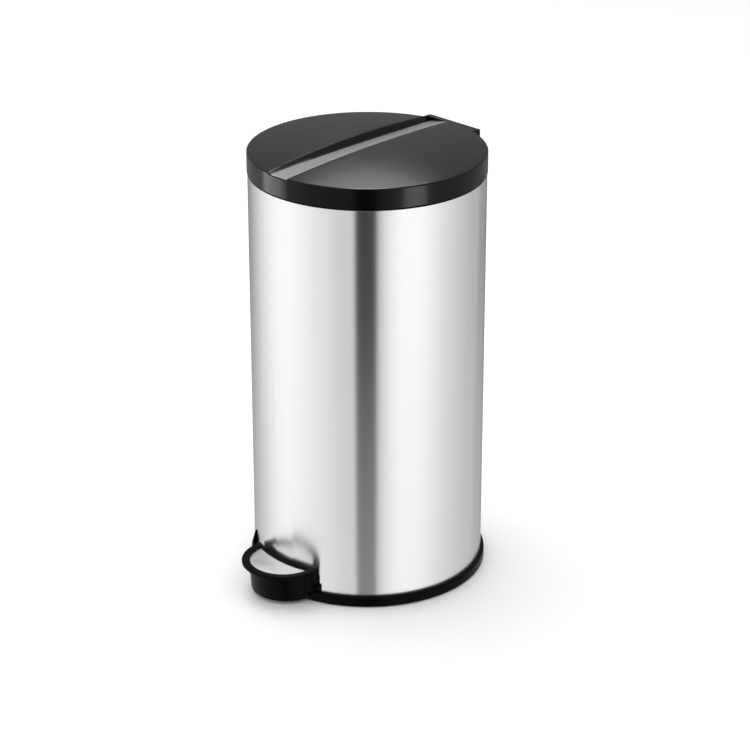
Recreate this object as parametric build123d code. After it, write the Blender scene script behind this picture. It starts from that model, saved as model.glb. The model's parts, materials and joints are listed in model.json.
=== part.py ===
"""A 30-litre class round pedal bin: steel shell, hinged domed lid, pedal linkage and lift-out bucket.

+Z is up, -Y is the front, where the pedal is, and +Y is the back, where the hinge is. The origin is on the
shell's axis, on the floor. Sizes are in millimetres.
"""

from build123d import *
import math
import os

# ---- shell, base and lid: the driving sizes ----
SHELL_R = 150.0  # outside of the steel shell
SHELL_T = 0.7
SHELL_BOTTOM = 4.0
SHELL_TOP = 537.0
FIT = 0.1  # play between pieces that push together
MOVE_GAP = 0.4  # least gap between pieces that move past each other

RING_PROUD = 4.5  # how far the base ring stands out from the shell
RING_TOP = 14.5
RING_WALL = 3.0
RING_BEVEL = 1.2
FOOT_PROUD = 1.2  # the rubber foot's height under the base ring
FOOT_DEEP = 1.6  # how deep the rubber foot sits in its groove
FOOT_WIDE = 7.0
FLANGE_TOP = 5.2  # top of the base ring's inner flange
PAN_T = 3.0
PAN_SCREW_IN = 12.5  # from the shell's outside to the circle of pan screws
PAN_SCREWS = 6

COLLAR_LIP_T = 1.5
COLLAR_WALL = 1.9
COLLAR_DEEP = 15.0  # how far the collar reaches down inside the shell
LEDGE_T = 2.5
COLLAR_LIP_W = 6.5

LID_PROUD = 0.8
LID_GAP = 0.5
LID_BAND = 26.5  # height of the lid's skirt
LID_CROWN = 4.4
LID_T = 1.6
LID_EDGE_FILLET = 1.5

# ---- channel and strip in the lid's top ----
CHANNEL_FRONT_X = -20.0
CHANNEL_BACK_X = -43.0
CHANNEL_BOW = 5.0
CHANNEL_WALL_RUN = 5.0
CHANNEL_DEPTH = 8.0
CHANNEL_FRONT_DEPTH = 1.5
CHANNEL_BACK_DEPTH = 6.0
CHANNEL_DEEPEST = 0.68  # share of the way back
CHANNEL_END_GAP = 2.5  # from the channel's back end to the lid's back edge
STRIP_FRONT_X = 15.0
STRIP_BACK_X = -7.2
STRIP_W = 27.0
STRIP_T = 1.2

# ---- hinge ----
HINGE_BACK = 3.5  # the hinge axis lies this far behind the shell
HINGE_UP = 6.0  # and this far above its rim
PIN_R = 2.0
PIN_PLAY = 0.05
KNUCKLE_R = 4.3
KNUCKLE_IN = 24.0
KNUCKLE_OUT = 35.6
LUG_T = 3.5
HOUSING_HALF = 45.0
HOUSING_WALL = 2.2
HOUSING_BEHIND = 3.5  # the housing's back face, behind the hinge axis
BRACKET_HALF = 40.0
BRACKET_T = 5.0
BRACKET_H = 40.0
HINGE_SCREW_X = 28.0
HINGE_SCREW_UP = 8.0  # from the bracket's foot to its lower screws
HINGE_SCREW_PITCH = 9.0

# ---- linkage ----
LID_OPEN = 80.0  # degrees
CRANK_R = 12.0
CRANK_X = 3.2  # near face of the crank plate
CRANK_T = 2.0
SLOT_PLAY = 0.9
EYE_WALL = 2.0
ROD_R = 2.0
ROD_PLAY = 0.08
HOOK_END = 8.5
SHOE_R = 6.0
SHOE_H = 4.0
ROD_FOOT_R = 5.0
ROD_FOOT_H = 12.0
LEVER_HALF = 12.0
LEVER_TOP = 34.0
LEVER_H = 12.0
LEVER_T = 1.6
LEVER_REACH = 36.0  # how far the lever reaches out in front of the shell
PIVOT_Y = -110.0
PIVOT_Z = 27.0
PIVOT_R = 3.0
BUSH_T = 2.0
EAR_T = 2.0
EAR_GAP = 1.2

# ---- pedal ----
PEDAL_R = 54.8  # the pedal's round outline is centred on the shell's front
PEDAL_TOP = 46.0
PEDAL_FLANGE = 10.3
PEDAL_FLANGE_T = 3.8
PEDAL_LEDGE = 3.5
PLATE_DROP = 1.6
PLATE_T = 1.2
SKIRT_TOP_IN = 9.0  # how far the skirt's top lies inside the round outline
SKIRT_BOTTOM_IN = 8.0
SKIRT_RAKE = 5.0  # the skirt's bottom is this much nearer to the shell
SKIRT_T = 2.5
SKIRT_BOTTOM = 5.6
WEB_T = 2.5
PEDAL_BOSS_R = 4.2
PEDAL_SCREW_IN = 4.5  # how far the pedal's screws reach into it
REAR_GAP = 2.4
REAR_BAR = 5.0
REAR_BAR_H = 8.5
CHEEK_GAP = 1.2  # extra room between the pedal's cheeks and the trim
CHEEK_DEEP = 9.0
CHEEK_IN = 42.0  # the cheeks start this far from the middle
CHEEK_UP = 3.4  # from the base ring's top to the foot of the cheeks

# ---- slot trim ----
TRIM_OUT = 0.8  # the trim's ends lie this far outside the pedal's width
TRIM_T = 2.0
TRIM_TOP = 37.2
TRIM_FOOT_H = 10.0  # height of the low band that carries the fin
TRIM_TOE = 2.4  # how far the low band reaches past the trim's right end
FIN_OUT = 23.0  # from the pedal's left to the fin
FIN_W = 2.5
FIN_T = 5.0
FIN_TIP_T = 1.2
FIN_SHOULDER = 36.0  # where the fin starts to taper
FIN_TOP = 50.0
SLOT_HALF = 16.0
SLOT_BOTTOM = 16.3
WINDOW_FRAME = 2.0  # height of the trim above its window

# ---- bucket ----
BUCKET_CLEAR = 0.8  # from the bucket's rim to the rod
BUCKET_RIM_W = 4.0
BUCKET_TAPER = 7.5
BUCKET_T = 1.5
BUCKET_BOTTOM = 60.0
BUCKET_RIM_T = 2.0
BAIL_IN = 7.5  # from the bucket's wall to the bail
BAIL_WIRE = 2.0
BAIL_DROP = 6.5
GRIP_R = 5.0
GRIP_HALF_ANGLE = 15.0

# ---- lid's inside ----
LINER_DROP = 10.5  # from the top of the lid's band to the liner
LINER_T = 2.0
LINER_RIM_W = 4.0
LINER_RIM_H = 10.0
LINER_PLAY = 1.7
LINER_SCREW_XY = (95.0, 60.0)
BUFFER_R = 1.8
LINER_BOSS_R = 4.0
LINER_SCREW_IN = 6.0  # how far the liner's screws reach above it
LEVER_SCREW_X = -6.0
LEVER_FLANGE_T = 1.5

# ---- screws ----
SMALL_SCREW_R = 1.6
SMALL_HEAD_R = 3.2
LARGE_SCREW_R = 2.0
LARGE_HEAD_R = 3.6
HEAD_T = 1.8
SINK = 1.6  # depth of the counterbores under the base ring

# ---- worked out from the sizes above ----
RING_R = SHELL_R + RING_PROUD
SHELL_IN = SHELL_R - SHELL_T
PAN_SCREW_R = SHELL_R - PAN_SCREW_IN
COLLAR_LIP_R = SHELL_R - COLLAR_LIP_W
LID_R = SHELL_R + LID_PROUD
COLLAR_TOP = SHELL_TOP + COLLAR_LIP_T
LID_BOTTOM = COLLAR_TOP + LID_GAP
LID_EDGE = LID_BOTTOM + LID_BAND
DOME_R = (LID_R**2 + LID_CROWN**2) / (2 * LID_CROWN)
HINGE_Y = SHELL_R + HINGE_BACK
HINGE_Z = SHELL_TOP + HINGE_UP
HALF_OPEN = math.radians(LID_OPEN / 2)
ROD_Y = HINGE_Y - CRANK_R * math.cos(HALF_OPEN)
EYE_Z = HINGE_Z - CRANK_R * math.sin(HALF_OPEN)
EYE_TRAVEL = CRANK_R * (1 - math.cos(HALF_OPEN))
LIFT = 2 * CRANK_R * math.sin(HALF_OPEN)
SLOT_R = ROD_R + SLOT_PLAY
EYE_R = SLOT_R + EYE_WALL
LEDGE_TOP = SHELL_TOP - COLLAR_DEEP + LEDGE_T
BUCKET_RIM_R = ROD_Y - ROD_R - BUCKET_CLEAR
BUCKET_R = BUCKET_RIM_R - BUCKET_RIM_W
BUCKET_BASE_R = BUCKET_R - BUCKET_TAPER
BAIL_R = BUCKET_R - BAIL_IN
LEDGE_R = BUCKET_R + 1.5  # inside of the collar's ledge, where the bucket hangs
PAN_TOP = FLANGE_TOP + PAN_T
PEDAL_Y = -SHELL_R
SKIRT_TOP_R = PEDAL_R - SKIRT_TOP_IN
SKIRT_BOTTOM_R = PEDAL_R - SKIRT_BOTTOM_IN
LEVER_FRONT = SHELL_R + LEVER_REACH
TRIM_HALF = PEDAL_R + TRIM_OUT
TRIM_LOW = RING_TOP + 0.3
FIN_X = -PEDAL_R - FIN_OUT
LINER_TOP = LID_EDGE - LINER_DROP + LINER_T
LINER_BOTTOM = LID_EDGE - LINER_DROP
LINER_R = LID_R - LID_T - LINER_PLAY
SHOE_TOP = LEVER_TOP + SHOE_H
EAR_IN = LEVER_HALF + EAR_GAP
EAR_OUT = EAR_IN + EAR_T
BAIL_Z = LEDGE_TOP - BAIL_DROP


def box(x0, x1, y0, y1, z0, z1):
    """A box from its corners."""
    return Pos((x0 + x1) / 2, (y0 + y1) / 2, (z0 + z1) / 2) * Box(x1 - x0, y1 - y0, z1 - z0)


def post(r, z0, z1, x=0.0, y=0.0):
    """An upright cylinder."""
    return Pos(x, y, (z0 + z1) / 2) * Cylinder(r, z1 - z0)


def bar_x(r, x0, x1, y, z):
    """A cylinder that lies along X."""
    return Pos((x0 + x1) / 2, y, z) * Rot(0, 90, 0) * Cylinder(r, x1 - x0)


def bar_y(r, y0, y1, x, z):
    """A cylinder that lies along Y."""
    return Pos(x, (y0 + y1) / 2, z) * Rot(90, 0, 0) * Cylinder(r, y1 - y0)


def ring(r_out, r_in, z0, z1):
    """An upright ring about the bin's axis."""
    return post(r_out, z0, z1) - post(r_in, z0 - 1, z1 + 1)


def turned(*points):
    """A solid turned about Z from its (radius, height) outline."""
    return revolve(Plane.XZ * make_face(Polyline(*points, close=True)), Axis.Z)


def around(radius, count, start=0.0):
    """Points evenly spaced on a circle, as (x, y)."""
    for i in range(count):
        a = math.radians(start + 360 * i / count)
        yield radius * math.cos(a), radius * math.sin(a)


def joined(solids):
    """The union of a list of solids."""
    total = solids[0]
    for s in solids[1:]:
        total = total + s
    return total


def group(solids):
    """Separate solids that share one node."""
    return Compound(children=[s.solid() for s in solids])


# ---- body of the bin ----
def lever_notch():
    """The gap at the back of the rim that the crank and the rod's hook move in."""
    low = EYE_Z - EYE_R - 2
    return box(-ROD_R - 3, HOOK_END + 3.5, ROD_Y - EYE_R - 1, SHELL_R + 1, low, COLLAR_TOP + 1)


def outer_shell():
    tube = ring(SHELL_R, SHELL_IN, SHELL_BOTTOM, SHELL_TOP)
    slot = box(-SLOT_HALF, SLOT_HALF, -SHELL_R - 1, -SHELL_R / 2, SLOT_BOTTOM, TRIM_TOP)
    tube = tube - slot - lever_notch()
    for x, z in hinge_screw_places():
        tube = tube - bar_y(LARGE_SCREW_R, SHELL_R / 2, SHELL_R + 1, x, z)
    return tube


def base_ring():
    groove_in = SHELL_IN - FIT
    body = turned(
        (PAN_SCREW_R - 4.5, FOOT_PROUD),
        (RING_R - RING_BEVEL, FOOT_PROUD),
        (RING_R, FOOT_PROUD + RING_BEVEL),
        (RING_R, RING_TOP - RING_BEVEL),
        (RING_R - RING_BEVEL, RING_TOP),
        (SHELL_R + FIT, RING_TOP),
        (SHELL_R + FIT, SHELL_BOTTOM),
        (groove_in, SHELL_BOTTOM),
        (groove_in, RING_TOP - RING_WALL),
        (groove_in - RING_WALL, RING_TOP - RING_WALL),
        (groove_in - RING_WALL, FLANGE_TOP),
        (PAN_SCREW_R - 4.5, FLANGE_TOP),
    )
    body = body - foot_ring()
    for x, y in around(PAN_SCREW_R, PAN_SCREWS, 30):
        body = body - post(SMALL_HEAD_R + 0.4, FOOT_PROUD - 1, FOOT_PROUD + SINK, x, y)
        body = body - post(SMALL_SCREW_R, 0, FLANGE_TOP + 1, x, y)
    return body


def foot_ring():
    outside = SHELL_IN - 1.0
    return ring(outside, outside - FOOT_WIDE, 0, FOOT_PROUD + FOOT_DEEP)


def base_pan():
    pan_r = SHELL_IN - 2 * FIT - RING_WALL
    pan = post(pan_r, FLANGE_TOP, PAN_TOP)
    corridor = box(-EAR_OUT - 5, EAR_OUT + 5, -pan_r, pan_r, PAN_TOP, PAN_TOP + 20)
    pan = pan + (ring(100, 98, PAN_TOP - 1, PAN_TOP + 6) - corridor)
    for side in (-1, 1):
        inner = side * (EAR_OUT + 3)
        outer = side * (EAR_OUT + 5)
        pan = pan + box(min(inner, outer), max(inner, outer), -120, 120, PAN_TOP - 1, PAN_TOP + 8)
    for x, y in around(PAN_SCREW_R, PAN_SCREWS, 30):
        pan = pan - post(SMALL_SCREW_R, FLANGE_TOP - 1, PAN_TOP + 1, x, y)
    for y in bracket_screw_places():
        pan = pan - post(LARGE_SCREW_R, FLANGE_TOP - 1, PAN_TOP + 1, 0, y)
    return pan


def base_screws():
    under = FOOT_PROUD + SINK
    return group(
        [
            post(SMALL_HEAD_R, FOOT_PROUD + 0.3, under, x, y) + post(SMALL_SCREW_R, under, PAN_TOP, x, y)
            for x, y in around(PAN_SCREW_R, PAN_SCREWS, 30)
        ]
    )


def pedal_slot_trim():
    """A surround on the shell with a low band under it, and one tall fin at the band's left end."""
    far = -SHELL_R - 9
    near = -SHELL_R / 2
    window_top = TRIM_TOP - WINDOW_FRAME
    window = box(-SLOT_HALF + 0.6, SLOT_HALF - 0.6, far, near, SLOT_BOTTOM, window_top)
    band = ring(SHELL_R + TRIM_T, SHELL_R, TRIM_LOW, TRIM_TOP)
    front = band & box(-TRIM_HALF, TRIM_HALF, far, near, TRIM_LOW, TRIM_TOP)
    foot = band & box(FIN_X, TRIM_HALF + TRIM_TOE, far, near, TRIM_LOW, TRIM_LOW + TRIM_FOOT_H)
    return front + foot + trim_fin() - window


def trim_fin():
    """A thin upright fin that tapers to a point beside the pedal's left corner."""
    y = -math.sqrt(SHELL_R**2 - FIN_X**2)
    lean = math.atan2(FIN_X, -y)
    root = -2.0  # inside the shell, where it is cut off again
    outline = Polyline(
        (root, TRIM_LOW),
        (FIN_T, TRIM_LOW),
        (FIN_T, FIN_SHOULDER),
        (FIN_TIP_T, FIN_TOP),
        (root, FIN_TOP),
        close=True,
    )
    blade = extrude(Plane.XZ * make_face(outline), FIN_W / 2, both=True)
    turned_blade = Rot(0, 0, math.degrees(lean) - 90) * Pos(SHELL_R, 0, 0) * blade
    return turned_blade - post(SHELL_R, 0, FIN_TOP + 1)


def bracket_screw_places():
    return (PIVOT_Y - 13, PIVOT_Y + 13)


def pivot_bracket():
    plate = box(-EAR_OUT, EAR_OUT, PIVOT_Y - 18, PIVOT_Y + 18, PAN_TOP, PAN_TOP + EAR_T)
    for y in bracket_screw_places():
        plate = plate - post(LARGE_SCREW_R, PAN_TOP - 1, PAN_TOP + EAR_T + 1, 0, y)
    bore = PIVOT_R + PIN_PLAY + BUSH_T
    for side in (-1, 1):
        mid = side * (EAR_IN + EAR_OUT) / 2
        ear = box(mid - EAR_T / 2, mid + EAR_T / 2, PIVOT_Y - 9, PIVOT_Y + 9, PAN_TOP + EAR_T, PIVOT_Z)
        ear = ear + bar_x(9, mid - EAR_T / 2, mid + EAR_T / 2, PIVOT_Y, PIVOT_Z)
        plate = plate + (ear - bar_x(bore, mid - EAR_T, mid + EAR_T, PIVOT_Y, PIVOT_Z))
    return plate


def bracket_screws():
    top = PAN_TOP + EAR_T
    return group(
        [
            post(LARGE_HEAD_R, top, top + HEAD_T, 0, y) + post(LARGE_SCREW_R, FLANGE_TOP, top, 0, y)
            for y in bracket_screw_places()
        ]
    )


def pivot_bushes():
    bore = PIVOT_R + PIN_PLAY
    bushes = []
    for side in (-1, 1):
        mid = side * (EAR_IN + EAR_OUT) / 2
        rim = side * (EAR_OUT + 0.4)
        sleeve = bar_x(bore + BUSH_T, mid - EAR_T / 2, mid + EAR_T / 2, PIVOT_Y, PIVOT_Z)
        sleeve = sleeve + bar_x(bore + BUSH_T + 1.2, rim - 0.4, rim + 0.4, PIVOT_Y, PIVOT_Z)
        bushes.append(sleeve - bar_x(bore, mid - 4, mid + 4, PIVOT_Y, PIVOT_Z))
    return group(bushes)


def rod_guide(z0, z1):
    """A block on the inside of the shell that the rod slides through."""
    block = box(-9, 9, ROD_Y - ROD_R - 1.9, SHELL_R, z0, z1) & post(SHELL_IN, z0, z1)
    return block - post(ROD_R + ROD_PLAY, z0 - 1, z1 + 1, 0, ROD_Y)


def rim_collar():
    wall_out = SHELL_IN - FIT
    low = SHELL_TOP - COLLAR_DEEP
    collar = turned(
        (LEDGE_R, low),
        (wall_out, low),
        (wall_out, SHELL_TOP),
        (SHELL_R, SHELL_TOP),
        (SHELL_R, COLLAR_TOP),
        (COLLAR_LIP_R, COLLAR_TOP),
        (COLLAR_LIP_R, SHELL_TOP),
        (wall_out - COLLAR_WALL, SHELL_TOP),
        (wall_out - COLLAR_WALL, LEDGE_TOP),
        (LEDGE_R, LEDGE_TOP),
    )
    notch = lever_notch()
    rod_gap = box(-ROD_R - 1.5, ROD_R + 1.5, LEDGE_R - 2, SHELL_R, low - 1, COLLAR_TOP)
    return collar - notch - rod_gap


# ---- hinge on the body ----
def hinge_screw_places():
    base = SHELL_TOP - BRACKET_H + HINGE_SCREW_UP
    return [(side * HINGE_SCREW_X, z) for side in (-1, 1) for z in (base, base + HINGE_SCREW_PITCH)]


def hinge_bracket():
    low = SHELL_TOP - BRACKET_H
    back = box(-BRACKET_HALF, BRACKET_HALF, 0, SHELL_R + 30, low, SHELL_TOP)
    bracket = ring(SHELL_R + BRACKET_T, SHELL_R, low, SHELL_TOP) & back
    for side in (-1, 1):
        x0, x1 = sorted((side * KNUCKLE_IN, side * KNUCKLE_OUT))
        column = box(x0, x1, SHELL_R / 2, HINGE_Y + KNUCKLE_R, HINGE_Z - 22, HINGE_Z - 1)
        column = column - post(SHELL_R, 0, SHELL_TOP)
        column = column - box(x0 - 1, x1 + 1, 0, HINGE_Y - KNUCKLE_R, SHELL_TOP - 1, HINGE_Z + 9)
        bracket = bracket + column + bar_x(KNUCKLE_R, x0, x1, HINGE_Y, HINGE_Z)
        bracket = bracket - bar_x(PIN_R, x0 - 1, x1 + 1, HINGE_Y, HINGE_Z)
    for x, z in hinge_screw_places():
        bracket = bracket - bar_y(LARGE_SCREW_R, SHELL_R / 2, SHELL_R + 2, x, z)
    return bracket


def hinge_screws():
    seat = math.sqrt(SHELL_IN**2 - (HINGE_SCREW_X + LARGE_HEAD_R) ** 2)
    return group(
        [
            bar_y(LARGE_HEAD_R, seat - HEAD_T, seat, x, z) + bar_y(LARGE_SCREW_R, seat, SHELL_R + 2, x, z)
            for x, z in hinge_screw_places()
        ]
    )


def hinge_pin():
    end = KNUCKLE_OUT + MOVE_GAP + LUG_T + 1.5
    return bar_x(PIN_R, -end, end, HINGE_Y, HINGE_Z)


# ---- bucket ----
def inner_bucket():
    bucket = turned(
        (0, BUCKET_BOTTOM),
        (BUCKET_BASE_R, BUCKET_BOTTOM),
        (BUCKET_R, LEDGE_TOP),
        (BUCKET_RIM_R, LEDGE_TOP),
        (BUCKET_RIM_R, LEDGE_TOP + BUCKET_RIM_T),
        (BUCKET_R - BUCKET_T, LEDGE_TOP + BUCKET_RIM_T),
        (BUCKET_BASE_R - BUCKET_T, BUCKET_BOTTOM + BUCKET_T),
        (0, BUCKET_BOTTOM + BUCKET_T),
    )
    return bucket - bar_x(BAIL_WIRE + FIT, -BUCKET_R - 5, BUCKET_R + 5, 0, BAIL_Z)


def bucket_bail():
    """The wire handle, lying flat inside the bucket's rim, towards the front."""
    half = Pos(0, 0, BAIL_Z) * Torus(BAIL_R, BAIL_WIRE)
    half = half & box(-BAIL_R - 9, BAIL_R + 9, -BAIL_R - 9, 0, BAIL_Z - 9, BAIL_Z + 9)
    for side in (-1, 1):
        x0, x1 = sorted((side * BAIL_R, side * (BUCKET_R + 2.5)))
        half = half + bar_x(BAIL_WIRE, x0, x1, 0, BAIL_Z) + Pos(side * BAIL_R, 0, BAIL_Z) * Sphere(BAIL_WIRE)
    return half


def bail_grip():
    """A tube round the middle of the bail."""
    tube = Torus(BAIL_R, GRIP_R) - Torus(BAIL_R, BAIL_WIRE)
    wedge_half = math.radians(GRIP_HALF_ANGLE)
    reach = 2 * BAIL_R
    corner = (reach * math.sin(wedge_half), -reach * math.cos(wedge_half))
    wedge = make_face(Polyline((0, 0), corner, (-corner[0], corner[1]), close=True))
    return Pos(0, 0, BAIL_Z) * (tube & Pos(0, 0, -GRIP_R - 1) * extrude(wedge, 2 * GRIP_R + 2))


# ---- pedal and lever ----
def pedal_lever():
    back = ROD_Y + SHOE_R
    lever = box(-LEVER_HALF, LEVER_HALF, -LEVER_FRONT, back, LEVER_TOP - LEVER_H, LEVER_TOP)
    inside = LEVER_HALF - LEVER_T
    lever = lever - box(-inside, inside, -LEVER_FRONT - 1, back + 1, 0, LEVER_TOP - LEVER_T)
    lever = lever & (box(-LEVER_HALF, LEVER_HALF, -LEVER_FRONT, 0, 0, 99) + post(SHELL_IN - 1.5, 0, 99))
    lever = lever - bar_x(PIVOT_R, -LEVER_HALF - 1, LEVER_HALF + 1, PIVOT_Y, PIVOT_Z)
    for y in pedal_screw_places():
        lever = lever - post(LARGE_SCREW_R, LEVER_TOP - 5, LEVER_TOP + 1, 0, y)
    return lever


def lever_shoe():
    return post(SHOE_R - 1.5, LEVER_TOP, SHOE_TOP, 0, ROD_Y - 1.5)


def pivot_pin():
    end = EAR_OUT + 3.2
    return bar_x(PIVOT_R, -end, end, PIVOT_Y, PIVOT_Z)


def pin_clips():
    clips = []
    for side in (-1, 1):
        mid = side * (EAR_OUT + 1.8)
        clip = bar_x(PIVOT_R + 2.6, mid - 0.5, mid + 0.5, PIVOT_Y, PIVOT_Z)
        clips.append(clip - bar_x(PIVOT_R, mid - 1, mid + 1, PIVOT_Y, PIVOT_Z))
    return group(clips)


def pedal_round(r, z0, z1, y=PEDAL_Y):
    return post(r, z0, z1, 0, y)


def skirt_solid(inset):
    """The tapered block inside the pedal's skirt wall."""
    top = Pos(0, PEDAL_Y, PEDAL_TOP - 1) * Circle(SKIRT_TOP_R - inset)
    bottom = Pos(0, PEDAL_Y + SKIRT_RAKE, SKIRT_BOTTOM) * Circle(SKIRT_BOTTOM_R - inset)
    return loft([bottom, top])


def pedal_cheeks():
    """A block under each end of the flange that closes the skirt towards the shell."""
    near = SHELL_R + REAR_GAP + CHEEK_GAP
    top = PEDAL_TOP - PEDAL_FLANGE_T + 0.4
    low = RING_TOP + CHEEK_UP
    blocks = ring(near + CHEEK_DEEP, near, low, top) & pedal_round(PEDAL_R - 0.5, low, top)
    return blocks - box(-CHEEK_IN, CHEEK_IN, -SHELL_R - PEDAL_R, 0, 0, PEDAL_TOP)


def pedal_frame():
    inner_r = PEDAL_R - PEDAL_FLANGE
    seat = PEDAL_TOP - PLATE_DROP - PLATE_T
    flange = pedal_round(PEDAL_R, PEDAL_TOP - PEDAL_FLANGE_T, PEDAL_TOP)
    flange = fillet(flange.edges().group_by(Axis.Z)[-1], 1.2)
    skirt = skirt_solid(0) - skirt_solid(SKIRT_T)
    web_low = LEVER_TOP
    web = box(-PEDAL_R, PEDAL_R, PEDAL_Y - PEDAL_R, -SHELL_R - 8, web_low, web_low + WEB_T)
    web = web & skirt_solid(0)
    for y in pedal_screw_places():
        web = web + post(PEDAL_BOSS_R, web_low, seat - 0.6, 0, y)
        web = web - post(LARGE_SCREW_R, web_low - 1, web_low + PEDAL_SCREW_IN, 0, y)
    frame = flange + skirt + web
    frame = frame - pedal_round(inner_r, seat, PEDAL_TOP + 1)
    ledge_void = pedal_round(inner_r - PEDAL_LEDGE, web_low + WEB_T + 0.01, seat)
    bosses = joined([post(PEDAL_BOSS_R, 0, seat - 0.6, 0, y) for y in pedal_screw_places()])
    frame = frame - (ledge_void - bosses)
    gap = SHELL_R + REAR_GAP
    bar = ring(gap + REAR_BAR, gap, PEDAL_TOP - REAR_BAR_H, PEDAL_TOP)
    bar = bar & pedal_round(PEDAL_R, 0, PEDAL_TOP)
    bar = bar & box(-PEDAL_R, PEDAL_R, -SHELL_R - 20, -SHELL_R / 2, 0, PEDAL_TOP)
    groove = ring(gap + 0.6 * REAR_BAR, gap + 0.35 * REAR_BAR, PEDAL_TOP - 1, PEDAL_TOP + 1)
    passage = box(-LEVER_HALF - 1.5, LEVER_HALF + 1.5, -SHELL_R - 8, 0, 0, LEVER_TOP + 1)
    low_cut = post(RING_R + REAR_GAP, 0, PEDAL_TOP - REAR_BAR_H)
    frame = frame - low_cut - passage - post(gap, 0, PEDAL_TOP + 1)
    return frame + (bar - groove) + pedal_cheeks()


def pedal_plate():
    inner_r = PEDAL_R - PEDAL_FLANGE - FIT
    low = PEDAL_TOP - PLATE_DROP - PLATE_T
    bar_out = SHELL_R + REAR_GAP + REAR_BAR + FIT
    return pedal_round(inner_r, low, low + PLATE_T) - post(bar_out, 0, PEDAL_TOP)


def pedal_screw_places():
    return (-SHELL_R - 15, -SHELL_R - 27)


def pedal_screws():
    under = LEVER_TOP - LEVER_T
    top = LEVER_TOP + PEDAL_SCREW_IN
    return group(
        [
            post(LARGE_HEAD_R, under - HEAD_T, under, 0, y) + post(LARGE_SCREW_R, under, top, 0, y)
            for y in pedal_screw_places()
        ]
    )


# ---- rod ----
def push_rod():
    bottom = SHOE_TOP + MOVE_GAP + 3
    rod = post(ROD_R, bottom, EYE_Z, 0, ROD_Y)
    rod = rod + bar_x(ROD_R, 0, HOOK_END, ROD_Y, EYE_Z) + Pos(0, ROD_Y, EYE_Z) * Sphere(ROD_R)
    return rod + bar_x(ROD_R + 0.7, CRANK_X + CRANK_T + 1.2, HOOK_END, ROD_Y, EYE_Z)


def rod_foot():
    low = SHOE_TOP + MOVE_GAP
    foot = post(ROD_FOOT_R, low, low + ROD_FOOT_H, 0, ROD_Y) & post(SHELL_IN - 0.6, 0, 99)
    return foot - post(ROD_R, low + 3, low + ROD_FOOT_H + 1, 0, ROD_Y)


# ---- lid ----
def dome_height(x, y):
    return LID_EDGE + LID_CROWN - (x * x + y * y) / (2 * DOME_R)


def channel_places(back):
    """Stations along the channel, from the front rim to its back end."""
    front = -LID_R - 2
    steps = 12
    return [front + (back - front) * i / steps for i in range(steps + 1)]


def channel_depth(y):
    front, back = -LID_R, LID_R - CHANNEL_END_GAP
    share = min(1.0, max(0.0, (y - front) / (back - front)))
    if share < CHANNEL_DEEPEST:
        rise = math.sin(math.pi / 2 * share / CHANNEL_DEEPEST)
        return CHANNEL_FRONT_DEPTH + (CHANNEL_DEPTH - CHANNEL_FRONT_DEPTH) * rise
    fall = (share - CHANNEL_DEEPEST) / (1 - CHANNEL_DEEPEST)
    return CHANNEL_DEPTH - (CHANNEL_DEPTH - CHANNEL_BACK_DEPTH) * fall**2


def skew(front_x, back_x, y):
    return front_x + (back_x - front_x) * (y + SHELL_R) / (2 * SHELL_R)


def channel_left(y):
    bow = CHANNEL_BOW * max(0.0, 1 - (y / SHELL_R) ** 2)
    return skew(CHANNEL_FRONT_X, CHANNEL_BACK_X, y) - bow


def strip_right(y):
    return skew(STRIP_FRONT_X, STRIP_BACK_X, y)


def channel_points(y):
    """Left edge, valley and right edge of the channel's floor at one station, as (x, z)."""
    left, right = channel_left(y), strip_right(y)
    valley = left + CHANNEL_WALL_RUN
    return (
        (left, dome_height(left, y)),
        (valley, dome_height(valley, y) - channel_depth(y)),
        (right, dome_height(right, y) - STRIP_T),
    )


def along_channel(outline, back=LID_R - CHANNEL_END_GAP):
    """A solid along the channel, from a function that gives its closed outline at one station."""
    faces = []
    for y in channel_places(back):
        section = Plane((0, y, 0), x_dir=(1, 0, 0), z_dir=(0, -1, 0))
        faces.append(section * make_face(Polyline(*outline(y), close=True)))
    return loft(faces, ruled=True)


def channel_cut():
    def outline(y):
        left, valley, right = channel_points(y)
        top = LID_EDGE + LID_CROWN + 3
        return [(left[0], top), left, valley, right, (right[0], top)]

    return along_channel(outline)


def channel_trough():
    """The channel grown by the lid's wall, which keeps the lid closed under and behind it."""

    def outline(y):
        left, valley, right = channel_points(y)
        top = LID_EDGE + LID_CROWN + 3
        return [
            (left[0] - LID_T, top),
            (left[0] - LID_T, left[1] - LID_T),
            (valley[0] - 0.5, valley[1] - LID_T),
            (right[0] + LID_T, right[1] - LID_T),
            (right[0] + LID_T, top),
        ]

    return along_channel(outline, LID_R + LID_T)


def lid_strip():
    def outline(y):
        _, valley, right = channel_points(y)
        return [valley, right, (right[0], right[1] + STRIP_T), (valley[0], valley[1] + STRIP_T)]

    reach = LID_R + 5
    plan = make_face(
        Polyline(
            (strip_right(-reach) - STRIP_W, -reach),
            (strip_right(-reach) + 1, -reach),
            (strip_right(reach) + 1, reach),
            (strip_right(reach) - STRIP_W, reach),
            close=True,
        )
    )
    column = Pos(0, 0, LID_BOTTOM) * extrude(plan, LID_BAND + 20)
    return along_channel(outline) & column & post(LID_R - 0.3, LID_BOTTOM, LID_EDGE + 20)


def lid_block(inset, bottom):
    """The domed block of the lid, or the hollow inside its wall."""
    centre = LID_EDGE + LID_CROWN - DOME_R
    block = post(LID_R - inset, bottom, LID_EDGE + LID_CROWN + 1)
    return block & Pos(0, 0, centre) * Sphere(DOME_R - inset)


def liner_bosses():
    x, y = LINER_SCREW_XY
    return [(sx * x, sy * y) for sx in (-1, 1) for sy in (-1, 1)]


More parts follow.
